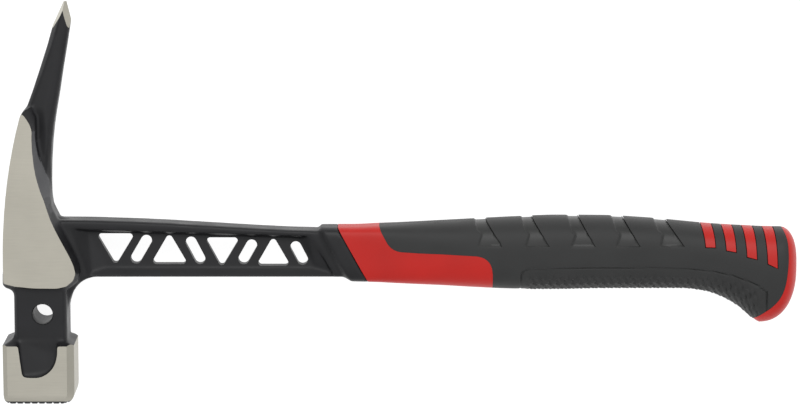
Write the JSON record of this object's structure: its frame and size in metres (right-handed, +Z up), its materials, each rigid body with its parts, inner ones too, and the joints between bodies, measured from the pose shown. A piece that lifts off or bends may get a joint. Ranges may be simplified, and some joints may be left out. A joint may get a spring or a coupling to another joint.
{
  "type": "roofing hammer",
  "caption": "One-piece forged steel roofing hammer: square milled poll, tapered spike, pierced I-section shank and a moulded grip with red trim.",
  "frame": {"origin": "centre of the footprint of the hammer lying on its side, on the surface it lies on", "axes": "+X along the handle from the head to the butt, +Y up the spike away from the striking face, +Z up through the hammer's thickness"},
  "size_m": [0.33, 0.166, 0.028],
  "materials": {
    "lacquered_steel": "black stoving lacquer on forged steel, with ground cheeks, poll and point",
    "ground_steel": "belt-ground bare steel, satin",
    "magnet_nickel": "nickel plated",
    "core_plastic": "hard filled plastic, hidden",
    "grip_rubber": "matt soft-touch moulding with moulded texture",
    "red_plastic": "satin moulded"
  },
  "bodies": {
    "root": {"hammer_forging": "lacquered_steel", "nail_magnet": "magnet_nickel", "tang_core": "core_plastic", "front_collar": "red_plastic", "grip_skin": "grip_rubber", "grip_bar_1": "red_plastic", "grip_bar_2": "red_plastic", "grip_bar_3": "red_plastic", "grip_bar_4": "red_plastic", "butt_cap": "red_plastic"}
  },
  "joints": []
}
